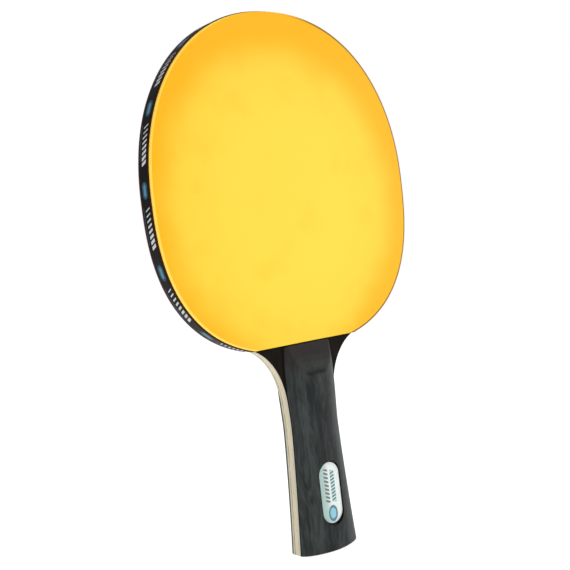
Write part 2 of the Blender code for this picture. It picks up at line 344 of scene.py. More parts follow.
class Surface:
    """A material whose nodes are added by short calls."""

    def __init__(self, name):
        self.made = bpy.data.materials.new(name)
        self.made.use_nodes = True
        self.tree = self.made.node_tree
        self.shader = self.tree.nodes["Principled BSDF"]

    def add(self, kind):
        return self.tree.nodes.new(kind)

    def feed(self, socket, value):
        """A socket takes another node's output, or a plain value."""
        if isinstance(value, bpy.types.NodeSocket):
            self.tree.links.new(value, socket)
        else:
            socket.default_value = value

    def math(self, operation, first, second=0.0, third=0.0):
        node = self.add("ShaderNodeMath")
        node.operation = operation
        for socket, value in zip(node.inputs, (first, second, third)):
            self.feed(socket, value)
        return node.outputs[0]

    def place(self):
        """The object's own coordinates, in metres."""
        return self.add("ShaderNodeTexCoord").outputs["Object"]

    def axes(self, vector):
        node = self.add("ShaderNodeSeparateXYZ")
        self.feed(node.inputs[0], vector)
        return node.outputs[0], node.outputs[1], node.outputs[2]

    def stretched(self, vector, scale):
        node = self.add("ShaderNodeMapping")
        self.feed(node.inputs["Vector"], vector)
        node.inputs["Scale"].default_value = scale
        return node.outputs[0]

    def noise(self, vector, scale, detail=3.0, roughness=0.55, distortion=0.0):
        node = self.add("ShaderNodeTexNoise")
        self.feed(node.inputs["Vector"], vector)
        node.inputs["Scale"].default_value = scale
        node.inputs["Detail"].default_value = detail
        node.inputs["Roughness"].default_value = roughness
        node.inputs["Distortion"].default_value = distortion
        return node.outputs[0]

    def between(self, value, low, high, to_low=0.0, to_high=1.0):
        """value rescaled and clamped, with smooth ends."""
        node = self.add("ShaderNodeMapRange")
        node.interpolation_type = "SMOOTHSTEP"
        for socket, given in zip(node.inputs, (value, low, high, to_low, to_high)):
            self.feed(socket, given)
        return node.outputs[0]

    def ramp(self, value, stops):
        node = self.add("ShaderNodeValToRGB")
        self.feed(node.inputs[0], value)
        elements = node.color_ramp.elements
        while len(elements) < len(stops):
            elements.new(0.5)
        for element, (position, tint) in zip(elements, stops):
            element.position = position
            element.color = tint
        return node.outputs[0]

    def inside(self, value, low, high, soft):
        """1 where value lies between low and high, with soft ends."""
        rise = self.between(value, low - soft, low + soft)
        fall = self.between(value, high - soft, high + soft, 1.0, 0.0)
        return self.math("MULTIPLY", rise, fall)

    def length(self, first, second):
        """Length of the flat vector with those two parts."""
        squares = (self.math("MULTIPLY", part, part) for part in (first, second))
        return self.math("SQRT", self.math("ADD", *squares))

    def mix(self, factor, first, second):
        node = self.add("ShaderNodeMix")
        node.data_type = "RGBA"
        self.feed(node.inputs[0], factor)
        self.feed(node.inputs[6], first)
        self.feed(node.inputs[7], second)
        return node.outputs[2]

    def bump(self, height, distance, strength=1.0, normal=None):
        node = self.add("ShaderNodeBump")
        node.inputs["Strength"].default_value = strength
        node.inputs["Distance"].default_value = distance
        self.feed(node.inputs["Height"], height)
        if normal:
            self.feed(node.inputs["Normal"], normal)
        return node.outputs[0]

    def finish(self, base, roughness, normal=None, **plain):
        """Feeds the shader, with plain values for the sockets named in plain."""
        self.feed(self.shader.inputs["Base Color"], base)
        self.feed(self.shader.inputs["Roughness"], roughness)
        if normal:
            self.feed(self.shader.inputs["Normal"], normal)
        for name, value in plain.items():
            self.shader.inputs[name.replace("_", " ")].default_value = value
        return self.made


def edge_wood(name, pale, deep, pore, glue_at=None):
    """Pale wood cut along its grain, with long fibres and short dark pores.

    A glue line is stained at the distance glue_at from the middle plane, mostly at the rear.
    """
    s = Surface(name)
    place = s.place()
    _, y, _ = s.axes(place)
    fibre = s.noise(s.stretched(place, (900, 3200, 110)), 1.0, 5.0, 0.6)
    patch = s.noise(s.stretched(place, (60, 500, 40)), 1.0, 3.0)
    pores = s.noise(s.stretched(place, (1500, 4200, 420)), 1.0, 2.0, 0.5)
    tone = s.mix(s.between(fibre, 0.3, 0.7), deep, pale)
    tone = s.mix(s.between(patch, 0.42, 0.68, 0.0, 0.45), tone, deep)
    pore_mask = s.between(pores, 0.64, 0.72)
    tone = s.mix(s.math("MULTIPLY", pore_mask, 0.55), tone, pore)
    if glue_at:
        core_of_line = 0.10 * MM
        end_of_line = 0.26 * MM
        off_line = s.math("ABSOLUTE", s.math("SUBTRACT", s.math("ABSOLUTE", y), glue_at))
        line = s.between(off_line, core_of_line, end_of_line, 1.0, 0.0)
        line = s.math("MULTIPLY", line, s.between(y, -MM, MM, 0.25, 1.0))
        breaks = s.noise(s.stretched(place, (300, 300, 260)), 1.0, 3.0)
        line = s.math("MULTIPLY", line, s.between(breaks, 0.36, 0.54, 0.35, 1.0))
        tone = s.mix(s.math("MULTIPLY", line, 0.85), tone, pore)
    rough = s.between(fibre, 0.25, 0.75, 0.74, 0.56)
    height = s.math("SUBTRACT", fibre, pore_mask)
    return s.finish(tone, rough, s.bump(height, 0.05 * MM, 0.6))


def stained_veneer():
    """Black-stained face veneer with its grain up the blade; the rear one's cut edge is left bare."""
    s = Surface("black_veneer")
    place = s.place()
    grain = s.noise(s.stretched(place, (2600, 900, 70)), 1.0, 5.0, 0.6)
    broad = s.noise(s.stretched(place, (260, 200, 22)), 1.0, 3.0, 0.5, 0.6)
    tone = s.ramp(s.between(grain, 0.25, 0.75), [(0.0, colour(12, 9, 7)), (1.0, colour(32, 26, 22))])
    tone = s.mix(s.between(broad, 0.45, 0.7, 0.0, 0.5), tone, colour(34, 30, 27))
    _, y, _ = s.axes(place)
    stain_starts = BLADE_HALF_THICKNESS - 0.12 * MM
    stain_full = BLADE_HALF_THICKNESS - 0.04 * MM
    bare = s.between(y, stain_starts, stain_full, 1.0, 0.0)
    bare = s.math("MULTIPLY", bare, s.math("GREATER_THAN", y, 0.0))
    tone = s.mix(bare, tone, colour(186, 180, 158))
    rough = s.between(grain, 0.3, 0.7, 0.6, 0.45)
    return s.finish(tone, rough, s.bump(grain, 0.04 * MM, 0.7), Specular_IOR_Level=0.05)


def head_reach(s, place):
    """How far out a point of the sheet is: 0 in the middle of the head and 1 on its outline."""
    x, _, z = s.axes(place)
    rise = s.math("SUBTRACT", z, WIDEST_Z)
    up = s.math("DIVIDE", s.math("MAXIMUM", rise, 0.0), BLADE_TOP - WIDEST_Z)
    down = s.math("DIVIDE", s.math("MAXIMUM", s.math("MULTIPLY", rise, -1.0), 0.0), LOWER_HEIGHT)
    side = s.math("DIVIDE", s.math("ABSOLUTE", x), BLADE_HALF_WIDTH)
    high = s.math("ADD", s.math("POWER", side, UPPER_EXPONENT), s.math("POWER", up, UPPER_EXPONENT))
    low = s.math("ADD", s.math("POWER", side, LOWER_EXPONENT), s.math("POWER", down, LOWER_EXPONENT))
    above = s.math("GREATER_THAN", rise, 0.0)
    below = s.math("SUBTRACT", 1.0, above)
    upper = s.math("MULTIPLY", s.math("POWER", high, 1 / UPPER_EXPONENT), above)
    lower = s.math("MULTIPLY", s.math("POWER", low, 1 / LOWER_EXPONENT), below)
    return s.math("ADD", upper, lower)


def rubber_light_falloff(s, place, reach, cloud):
    """How far the skin takes its darker, more orange rim colour, a painted falloff of light and sheen:
    more toward the rim, the right and the top, less beside the handle.
    """
    x, _, z = s.axes(place)
    right_from = 20 * MM
    per_metre_right = 0.6
    per_metre_up = 1.6
    to_right = s.math("MULTIPLY", s.math("SUBTRACT", x, right_from), per_metre_right)
    rise = s.math("MAXIMUM", s.math("SUBTRACT", z, WIDEST_Z), 0.0)
    to_top = s.math("MULTIPLY", rise, per_metre_up)
    light_falloff = s.math("ADD", reach, s.math("ADD", to_right, to_top))
    wander = s.math("MULTIPLY", s.math("SUBTRACT", cloud, 0.5), 0.10)
    from_axis = s.between(s.math("ABSOLUTE", x), 12 * MM, 50 * MM, 0.17, 0.0)
    beside_handle = s.math("MULTIPLY", from_axis, s.between(z, RUBBER_BOTTOM, WIDEST_Z, 1.0, 0.0))
    return s.math("SUBTRACT", s.math("ADD", light_falloff, wander), beside_handle)


def rubber_sheet(name, middle, rim, dust_and_highlight, rim_shade):
    """Grippy rubber skin with a very fine moulded tooth and faint clouds.

    Its colour goes from a lighter middle to a darker rim, a painted falloff of light and sheen. The very
    edge has a painted highlight on the left and a painted shade line on the right.
    """
    s = Surface(name)
    place = s.place()
    reach = head_reach(s, place)
    cloud = s.noise(place, 55.0, 4.0, 0.5)
    light_falloff = rubber_light_falloff(s, place, reach, cloud)
    # Painted falloff of light and sheen: the middle is painted lighter and the rim darker and more orange
    tone = s.mix(s.between(light_falloff, 0.35, 0.95, 0.0, 0.26), middle, rim)
    tone = s.mix(s.between(light_falloff, 0.73, 1.0), tone, rim)
    tone = s.mix(s.between(cloud, 0.5, 0.75, 0.0, 0.16), tone, rim)
    tooth = s.noise(place, 2600.0, 2.0, 0.5)
    smear = s.noise(s.stretched(place, (18, 18, 9)), 1.0, 4.0, 0.6, 1.2)
    tone = s.mix(s.between(smear, 0.62, 0.8, 0.0, 0.10), tone, dust_and_highlight)
    x, _, _ = s.axes(place)
    # A painted highlight: a lighter strip along the left rim (the same colour also tints the random smears
    # above)
    on_left = s.between(x, -40 * MM, -10 * MM, 0.6, 0.0)
    tone = s.mix(s.math("MULTIPLY", s.between(reach, 0.988, 0.993), on_left), tone, dust_and_highlight)
    # Painted shade: a dark line along the right rim
    on_right = s.between(x, 5 * MM, 30 * MM, 0.0, 0.85)
    tone = s.mix(s.math("MULTIPLY", s.between(reach, 0.985, 0.988), on_right), tone, rim_shade)
    rough = s.between(smear, 0.35, 0.7, 0.46, 0.60)
    pips = s.noise(place, 380.0, 1.0, 0.4)
    normal = s.bump(tooth, 0.012 * MM, 0.35, s.bump(pips, 0.02 * MM, 0.25))
    return s.finish(tone, rough, normal, Specular_IOR_Level=0.2)


def foam(name):
    """Dark closed-cell sponge."""
    s = Surface(name)
    place = s.place()
    cell = s.add("ShaderNodeTexVoronoi")
    s.feed(cell.inputs["Vector"], place)
    cell.inputs["Scale"].default_value = 3600.0  # cells of about 0.3 mm
    size = s.between(cell.outputs["Distance"], 0.1, 0.6)
    tone = s.mix(size, colour(30, 13, 9), colour(64, 30, 20))
    return s.finish(tone, 0.92, s.bump(size, 0.08 * MM, 0.8))


def tape_bars(s, cell, across, soft):
    """A group of leaning bars that get thinner along the tape."""
    start = 4.6 * MM
    end = 23.6 * MM
    pitch = 2.375 * MM
    lean = s.math("MULTIPLY_ADD", across, 0.45, cell)
    group = s.inside(lean, start, end, soft)
    beat = s.math("FRACT", s.math("DIVIDE", s.math("SUBTRACT", lean, start), pitch))
    width = s.between(lean, start, end, 0.72, 0.3)
    bar = s.between(s.math("SUBTRACT", beat, width), -0.05, 0.05, 1.0, 0.0)
    bar = s.math("MULTIPLY", bar, s.between(beat, 0.02, 0.1))
    tall = s.inside(across, -2.7 * MM, 0.7 * MM, soft)
    return s.math("MULTIPLY", group, s.math("MULTIPLY", bar, tall))


def tape_line(s, cell, across, soft):
    """A fine line beside the bars."""
    run = s.inside(cell, 7.0 * MM, 23.0 * MM, soft)
    return s.math("MULTIPLY", run, s.inside(across, 2.1 * MM, 2.6 * MM, soft))


def from_pill(s, cell, across):
    """Distance from the short line that the pill is drawn round."""
    middle = 30.4 * MM
    half_line = 1.7 * MM
    off_centre = 0.5 * MM
    run = s.math("SUBTRACT", s.math("ABSOLUTE", s.math("SUBTRACT", cell, middle)), half_line)
    return s.length(s.math("MAXIMUM", run, 0.0), s.math("ADD", across, off_centre))


def printed_tape():
    """Black film with a repeating generic print: slanted bars, a fine line and a teal pill.

    A thin red-brown line runs along each rim: the rubber's and sponge's own red-brown, darkened as painted
    shade.
    """
    s = Surface("edge_tape")
    place = s.place()
    uv = s.add("ShaderNodeUVMap")
    uv.uv_map = "along"
    along, across, _ = s.axes(uv.outputs[0])
    period = 36.3 * MM
    first = 66.5 * MM
    soft = 0.12 * MM
    turns = s.math("DIVIDE", s.math("SUBTRACT", along, first), period)
    cell = s.math("MULTIPLY", s.math("FRACT", turns), period)
    bars = tape_bars(s, cell, across, soft)
    line = tape_line(s, cell, across, soft)
    pill_distance = from_pill(s, cell, across)
    pill = s.between(pill_distance, 1.9 * MM, 2.2 * MM, 1.0, 0.0)
    pill_core = s.between(pill_distance, 0.75 * MM, 1.05 * MM, 1.0, 0.0)
    scuff = s.noise(s.stretched(place, (300, 300, 300)), 1.0, 5.0, 0.65)
    film = s.mix(s.between(scuff, 0.4, 0.75), colour(10, 10, 12), colour(22, 19, 21))
    # Painted shade: lines along both rims stand for the shaded edges of the rubber and sponge beside the
    # film
    rear_edge_shade = s.between(across, 3.45 * MM, 3.65 * MM, 0.0, 0.9)
    front_edge_shade = s.between(across, -4.0 * MM, -3.7 * MM, 0.9, 0.0)
    film = s.mix(rear_edge_shade, film, colour(118, 40, 22))
    film = s.mix(front_edge_shade, film, colour(74, 26, 8))
    worn = s.between(scuff, 0.35, 0.65, 0.72, 1.0)
    tone = s.mix(s.math("MULTIPLY", line, 0.6), film, colour(72, 88, 104))
    tone = s.mix(s.math("MULTIPLY", pill, worn), tone, colour(44, 82, 100))
    tone = s.mix(s.math("MULTIPLY", pill_core, 0.7), tone, colour(92, 140, 156))
    tone = s.mix(s.math("MULTIPLY", bars, worn), tone, colour(196, 200, 197))
    rough = s.between(scuff, 0.3, 0.7, 0.34, 0.5)
    return s.finish(tone, rough, s.bump(scuff, 0.03 * MM, 0.5), Specular_IOR_Level=0.05)


def pocket_shade_mask(s, x, y, z):
    """1 on the badge pocket's walls and floor, which are painted near black as painted shade."""
    radius = (PLATE[1].x - PLATE[0].x) / 2 + POCKET_MARGIN
    straight = (PLATE[1].z - PLATE[0].z) / 2 + POCKET_MARGIN - radius
    rise = s.math("ABSOLUTE", s.math("SUBTRACT", z, BADGE_Z))
    beyond = s.math("MAXIMUM", s.math("SUBTRACT", rise, straight), 0.0)
    height = s.math("SUBTRACT", s.math("ABSOLUTE", y), MOUTH_START)
    flare = s.math("MULTIPLY", s.math("MAXIMUM", height, 0.0), MOUTH_SLOPE)
    past_wall = s.math("SUBTRACT", s.length(x, beyond), flare)
    inside = s.between(past_wall, radius + 0.02 * MM, radius + 0.06 * MM, 1.0, 0.0)
    return s.math("MULTIPLY", inside, s.math("LESS_THAN", y, 0.0))


def scoop_crease_shade(s, y, z):
    """1 on a soft arc of painted shade along the crease where the thumb hollow starts."""
    below_crown = s.math("SUBTRACT", SCALE_CROWN, s.math("ABSOLUTE", y))
    arc_starts = s.between(below_crown, 0.1 * MM, 0.5 * MM)
    arc_ends = s.between(below_crown, 0.7 * MM, 1.5 * MM, 1.0, 0.0)
    scoop_start = SCALE_TOP - SCOOP_LENGTH
    in_hollow = s.between(z, scoop_start - 0.3 * MM, scoop_start + 0.7 * MM)
    return s.math("MULTIPLY", s.math("MULTIPLY", arc_starts, arc_ends), in_hollow)


def layered_handle():
    """Grey-dyed laminate: layers cut by the handle's curves, so they show as bands and streaks.

    It is painted browner in the thumb hollow and darker on an arc where the hollow starts, both painted
    shade. A painted shadow and glue line make its base nearly black, and painted shade makes the badge's
    pocket nearly black.
    """
    s = Surface("handle_wood")
    place = s.place()
    x, y, z = s.axes(place)
    layer = 1.6 * MM
    layer_swing = 4.6 * MM
    wave = s.noise(s.stretched(place, (120, 60, 24)), 1.0, 4.0, 0.55, 0.9)
    swing = s.math("MULTIPLY", s.math("SUBTRACT", wave, 0.5), layer_swing)
    depth = s.math("ADD", s.math("ABSOLUTE", y), swing)
    tint = s.add("ShaderNodeTexNoise")
    tint.noise_dimensions = "1D"
    s.feed(tint.inputs["W"], s.math("DIVIDE", depth, layer))
    tint.inputs["Scale"].default_value = 0.85
    tint.inputs["Detail"].default_value = 1.5
    flame = s.noise(s.stretched(place, (230, 110, 46)), 1.0, 4.0, 0.58, 2.6)
    shade = s.math("ADD", s.math("MULTIPLY", tint.outputs[0], 0.55), s.math("MULTIPLY", flame, 0.45))
    bands = s.between(shade, 0.36, 0.64)
    tone = s.mix(bands, colour(33, 37, 37), colour(61, 68, 67))
    grain = s.noise(s.stretched(place, (2300, 1900, 95)), 1.0, 5.0, 0.62)
    tone = s.mix(s.between(grain, 0.5, 0.78, 0.0, 0.35), tone, colour(27, 29, 30))
    pores = s.noise(s.stretched(place, (3000, 2600, 240)), 1.0, 2.0, 0.5)
    pore_mask = s.between(pores, 0.66, 0.74)
    tone = s.mix(s.math("MULTIPLY", pore_mask, 0.5), tone, colour(20, 21, 21))
    # Painted shade: the thumb hollow is painted browner and darker
    hollow_shade = s.between(z, SCALE_TOP - SCOOP_LENGTH - 1.0 * MM, SCALE_TOP - 4 * MM, 0.0, 0.85)
    tone = s.mix(hollow_shade, tone, colour(43, 38, 36))
    # Painted shade: a dark arc along the crease where the hollow starts
    tone = s.mix(s.math("MULTIPLY", scoop_crease_shade(s, y, z), 0.75), tone, colour(18, 20, 20))
    # A painted shadow where the scale meets the blade, together with its glue line, nearly black
    shadow_and_glue = s.between(s.math("ABSOLUTE", y), SCALE_BASE + 0.25 * MM, SCALE_BASE + 0.5 * MM, 0.85, 0.0)
    tone = s.mix(shadow_and_glue, tone, colour(12, 11, 9))
    # Painted shade: the badge pocket's walls and floor are painted nearly black
    tone = s.mix(pocket_shade_mask(s, x, y, z), tone, colour(9, 9, 9))
    rough = s.between(grain, 0.3, 0.7, 0.4, 0.54)
    height = s.math("SUBTRACT", grain, pore_mask)
    return s.finish(tone, rough, s.bump(height, 0.05 * MM, 0.7), Specular_IOR_Level=0.13)


def badge_ticks(s, x, z, centre, low, high, pitch, lean, fill):
    """A row of leaning ticks along the badge, from z = low to high about x = centre."""
    soft = 0.08 * MM
    half = 1.25 * MM
    leaning = s.math("MULTIPLY_ADD", x, lean, z)
    beat = s.math("MULTIPLY", s.math("FRACT", s.math("DIVIDE", leaning, pitch)), pitch)
    ticks = s.inside(beat, (0.5 - fill / 2) * pitch, (0.5 + fill / 2) * pitch, soft)
    wide = s.inside(x, centre - half, centre + half, soft)
    return s.math("MULTIPLY", s.math("MULTIPLY", ticks, wide), s.inside(z, low, high, soft))


def printed_badge():
    """Satin silver plate, painted darker and greener on its left as painted shade, with two rows of ticks
    and a plain oval ring.
    """
    s = Surface("badge_plate")
    place = s.place()
    x, _, z = s.axes(place)
    z = s.math("SUBTRACT", z, BADGE_Z)
    grey = badge_ticks(s, x, z, -2.1 * MM, -4.6 * MM, 11.8 * MM, 1.9 * MM, 0.45, 0.52)
    teal = badge_ticks(s, x, z, 1.7 * MM, -4.8 * MM, 10.6 * MM, 1.6 * MM, -0.3, 0.68)
    ring_x = 0.1 * MM
    ring_z = -10.0 * MM
    flattening = 0.7
    up = s.math("MULTIPLY", s.math("SUBTRACT", z, ring_z), flattening)
    from_ring = s.length(s.math("SUBTRACT", x, ring_x), up)
    ring = s.inside(from_ring, 1.75 * MM, 2.75 * MM, 0.08 * MM)
    dot = s.between(from_ring, 1.6 * MM, 1.8 * MM, 1.0, 0.0)
    brushed = s.noise(s.stretched(place, (4000, 900, 160)), 1.0, 3.0, 0.6)
    silver = s.mix(s.between(brushed, 0.3, 0.7), colour(222, 234, 231), colour(246, 249, 249))
    # Painted shade: the plate's left side is painted darker and greener
    silver = s.mix(s.between(x, -4.0 * MM, 0.5 * MM, 0.8, 0.0), silver, colour(150, 186, 180))
    tone = s.mix(s.math("MULTIPLY", grey, 0.9), silver, colour(62, 70, 72))
    tone = s.mix(s.math("MULTIPLY", teal, 0.95), tone, colour(0, 126, 130))
    tone = s.mix(s.math("MULTIPLY", dot, 0.85), tone, colour(110, 200, 226))
    tone = s.mix(s.math("MULTIPLY", ring, 0.95), tone, colour(0, 116, 138))
    return s.finish(tone, s.between(brushed, 0.3, 0.7, 0.28, 0.42), Metallic=0.1)


def clear_resin():
    """Clear doming resin, seen mostly by its reflections."""
    s = Surface("badge_dome")
    place = s.place()
    swirl = s.noise(place, 300.0, 2.0, 0.5)
    rim = s.add("ShaderNodeLayerWeight")
    rim.inputs["Blend"].default_value = 0.35
    cover = s.between(rim.outputs["Facing"], 0.25, 1.0, 0.03, 0.5)
    tone = s.mix(s.between(swirl, 0.3, 0.7), colour(238, 246, 246), colour(250, 252, 252))
    s.feed(s.shader.inputs["Alpha"], cover)
    return s.finish(tone, 0.06, s.bump(swirl, 0.02 * MM, 0.15))


# Pieces


def add_blade():
    """Five plies in one outline, each with its rims eased by sanding."""
    outline = blade_outline()
    ease = 0.06 * MM
    glue_at = CORE[1].y + 0.12 * MM
    pore = colour(96, 74, 52)
    core = edge_wood("core_wood", colour(216, 206, 180), colour(197, 184, 154), pore)
    inner = edge_wood("ply_wood", colour(205, 203, 188), colour(184, 180, 160), pore, glue_at)
    veneer = stained_veneer()
    layers = (
        ("blade_core", core, "core_wood"),
        ("blade_inner_ply_front", inner, "ply_wood"),
        ("blade_inner_ply_rear", inner, "ply_wood"),
        ("blade_outer_ply_front", veneer, "black_veneer"),
        ("blade_outer_ply_rear", veneer, "black_veneer"),
    )
    for node, material, slot in layers:
        low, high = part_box(node)
        mesh_data = bmesh.new()
        eased_plate(mesh_data, outline, low.y, high.y, ease)
        stand_in(make_object(node + "_fine", mesh_data, material), node, slot)


def roughened(mesh_data, depth, scale):
    """Shifts every point a little in its outline's plane, as a cut foam edge is uneven."""
    for vert in mesh_data.verts:
        shift = noise.noise_vector(vert.co * scale) * depth
        vert.co.x += shift.x
        vert.co.z += abs(shift.z)


def add_sponges():
    """Thin foam sheets a little inside the rubber's outline, with an uneven cut edge."""
    material = foam("sponge")
    inset = 0.08 * MM
    ease = 0.03 * MM
    lift = 0.1 * MM
    bottom_steps = 240
    steps = 6
    wide = rubber_outline(inset, lift, bottom_steps)
    tight = rubber_outline(inset + ease, lift + ease, bottom_steps)
    for node in ("sponge_front", "sponge_rear"):
        low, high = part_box(node)
        mesh_data = bmesh.new()
        rings = []
        for i in range(steps + 1):
            y = low.y + (high.y - low.y) * i / steps
            rings.append((tight if i in (0, steps) else wide, y))
        slab(mesh_data, rings)
        roughened(mesh_data, 0.05 * MM, 2600.0)
        piece = stand_in(make_object(node + "_fine", mesh_data, material), node, "sponge")


def pip(mesh_data, x, z, root_y, tip_y, sides=10):
    """One moulded pip: a short tapered peg, a little flared where it meets the skin."""
    profile = ((1.02, 0.0), (0.86, 0.18), (0.8, 1.0))
    rings = []
    for share, along in profile:
        ring = []
        for i in range(sides):
            angle = 2 * math.pi * i / sides
            out = PIP_RADIUS * share
            ring.append((x + out * math.cos(angle), z + out * math.sin(angle)))
        rings.append((ring, root_y + (tip_y - root_y) * along))
    slab(mesh_data, rings)


def add_pips(mesh_data, root_y, tip_y):
    """The rows of pips beside the straight edge, all of them below the head's widest line."""
    row_step = PIP_PITCH * math.sqrt(3) / 2
    for row in range(PIP_ROWS):
        z = RUBBER_BOTTOM + PIP_MARGIN + row * row_step
        share = 1 - ((WIDEST_Z - z) / LOWER_HEIGHT) ** LOWER_EXPONENT
        half = BLADE_HALF_WIDTH * share ** (1 / LOWER_EXPONENT) - PIP_MARGIN - SHEET_INSET
        count = int(half / PIP_PITCH)
        shift = PIP_PITCH / 2 if row % 2 else 0.0
        for place in range(-count - 1, count + 2):
            x = place * PIP_PITCH + shift
            if abs(x) <= half - BORDER_WIDTH:
                pip(mesh_data, x, z, root_y, tip_y)


def middle_part(points, count):
    """That many of the points, with as many left out at one end as at the other."""
    spare = len(points) - count
    return points[spare // 2 : spare // 2 + count]


def add_border(mesh_data, y_from, y_to):
    """A solid rim that runs round under the skin, open along the straight edge."""
    arc = head_arc()
    lowest = RUBBER_BOTTOM + 0.1 * MM
    outside = [p for p in offset_arc(arc, -SHEET_INSET - 0.02 * MM) if p[1] > lowest]
    inside = [p for p in offset_arc(arc, -SHEET_INSET - BORDER_WIDTH) if p[1] > lowest]
    count = min(len(outside), len(inside))
    sections = []
    for (xo, zo), (xi, zi) in zip(middle_part(outside, count), middle_part(inside, count)):
        corners = ((xo, y_from, zo), (xo, y_to, zo), (xi, y_to, zi), (xi, y_from, zi))
        sections.append([mesh_data.verts.new(corner) for corner in corners])
    join_sections(mesh_data, sections)


def add_skin(mesh_data, inner, outer, sign):
    """The rubber's flat outer part, with a rounded rim. sign is that of its side's y."""
    ease = 0.05 * MM
    radius = 0.3 * MM
    steps = 5
    rings = [(rubber_outline(SHEET_INSET + ease, ease), inner)]
    rings.append((rubber_outline(SHEET_INSET), inner + sign * ease))
    for i in range(steps + 1):
        angle = math.pi / 2 * i / steps
        inset = radius * (1 - math.cos(angle))
        y = outer - sign * radius * (1 - math.sin(angle))
        rings.append((rubber_outline(SHEET_INSET + inset, inset), y))
    slab(mesh_data, rings)


def add_topsheets():
    """On each face a rubber skin, with a border and pips on its inner side."""
    # Each sheet's colours: middle, rim of the painted falloff, dust and painted highlight, painted rim
    # shade
    yellows = (colour(252, 219, 70), colour(251, 184, 14), colour(255, 232, 110), colour(120, 84, 40))
    reds = (colour(176, 32, 28), colour(150, 24, 22), colour(170, 60, 52), colour(90, 20, 18))
    overlap = 0.05 * MM
    for node, sign, tones in (("topsheet_front", -1, yellows), ("topsheet_rear", 1, reds)):
        low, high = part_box(node)
        inner, outer = (high.y, low.y) if sign < 0 else (low.y, high.y)
        skin_inner = outer - sign * SKIN
        mesh_data = bmesh.new()
        add_skin(mesh_data, skin_inner, outer, sign)
        add_border(mesh_data, inner, skin_inner + sign * 2 * overlap)
        add_pips(mesh_data, skin_inner + sign * overlap, inner)
        stand_in(make_object(node + "_fine", mesh_data, rubber_sheet(node, *tones)), node, node)


def tape_section(front, rear, inner, shoulder, outer):
    """One cross section of the film, from its front rim over the outside to its rear rim."""
    rim = 0.12 * MM
    steps = 6
    section = [(inner[0], front, inner[1]), (shoulder[0], front, shoulder[1])]
    for i in range(steps + 1):
        share = i / steps
        section.append((outer[0], front + rim + (rear - front - 2 * rim) * share, outer[1]))
    return section + [(shoulder[0], rear, shoulder[1]), (inner[0], rear, inner[1])]


def add_tape():
    """The film follows the head's edge, with eased rims and a slightly uneven cut."""
    arc = head_arc()
    low, high = TAPE
    middle = (low.y + high.y) / 2
    thickness = high.x - BLADE_HALF_WIDTH
    gap = 0.05 * MM
    ease = 0.08 * MM
    cut = 0.07 * MM
    cut_scale = 90
    inner = offset_arc(arc, gap)
    outer = offset_arc(arc, thickness)
    shoulder = offset_arc(arc, thickness - ease)
    reached = running_lengths(arc)
    mesh_data = bmesh.new()
    uv = mesh_data.loops.layers.uv.new("along")
    distance = {}
    sections = []
    for i, run in enumerate(reached):
        front = low.y + cut + noise.noise(Vector((run * cut_scale, 0.0, 3.1))) * cut
        rear = high.y - cut + noise.noise(Vector((run * cut_scale, 7.7, 0.4))) * cut
        corners = tape_section(front, rear, inner[i], shoulder[i], outer[i])
        sections.append([mesh_data.verts.new(corner) for corner in corners])
        for vert in sections[-1]:
            distance[vert] = run
    join_sections(mesh_data, sections)
    for face in mesh_data.faces:
        for loop in face.loops:
            loop[uv].uv = (reached[-1] - distance[loop.vert], loop.vert.co.y - middle)
    piece = make_object("edge_tape_fine", mesh_data, printed_tape())
    stand_in(piece, "edge_tape", "edge_tape")


def scoop_height(z):
    """How high the thumb hollow leaves a scale above the middle plane, at that level.

    It is infinite well below the hollow, where the cutting cylinder doesn't reach.
    """
    crown = (SCALE_CROWN, SCALE_TOP - SCOOP_LENGTH)
    end = (SCALE_BASE + SCOOP_END_HEIGHT, SCALE_TOP)
    half_chord = math.dist(crown, end) / 2
    toward_end = unit(crown, end)
    to_axis = math.sqrt(SCOOP_RADIUS**2 - half_chord**2)
    axis_y = (crown[0] + end[0]) / 2 + toward_end[1] * to_axis
    axis_z = (crown[1] + end[1]) / 2 - toward_end[0] * to_axis
    reach = SCOOP_RADIUS**2 - (z - axis_z) ** 2
    if reach <= 0:
        return math.inf
    return axis_y - math.sqrt(reach)


def soft_min(a, b, width):
    """The lower of two heights, rounded over where they cross."""
    share = max(width - abs(a - b), 0.0) / width
    return min(a, b) - share * share * width / 4


def rounded_end(distance, radius):
    """How far a rounded corner draws a side in, at that distance from the end."""
    if distance >= radius:
        return 0.0
    return radius - math.sqrt(radius**2 - (radius - distance) ** 2)


def scale_levels():
    """The heights of a scale's cross sections, closest together at its two rounded ends."""
    levels = [0.0, 0.06 * MM, 0.14 * MM, 0.26 * MM, 0.4 * MM]
    body_start = levels[-1]
    body_end = SCALE_TOP - SCALE_END_CORNER
    corner_steps = 10
    for i in range(1, SCALE_LEVELS + 1):
        levels.append(body_start + (body_end - body_start) * i / SCALE_LEVELS)
    for i in range(1, corner_steps + 1):
        levels.append(body_end + SCALE_END_CORNER * math.sin(math.pi / 2 * i / corner_steps))
    return levels


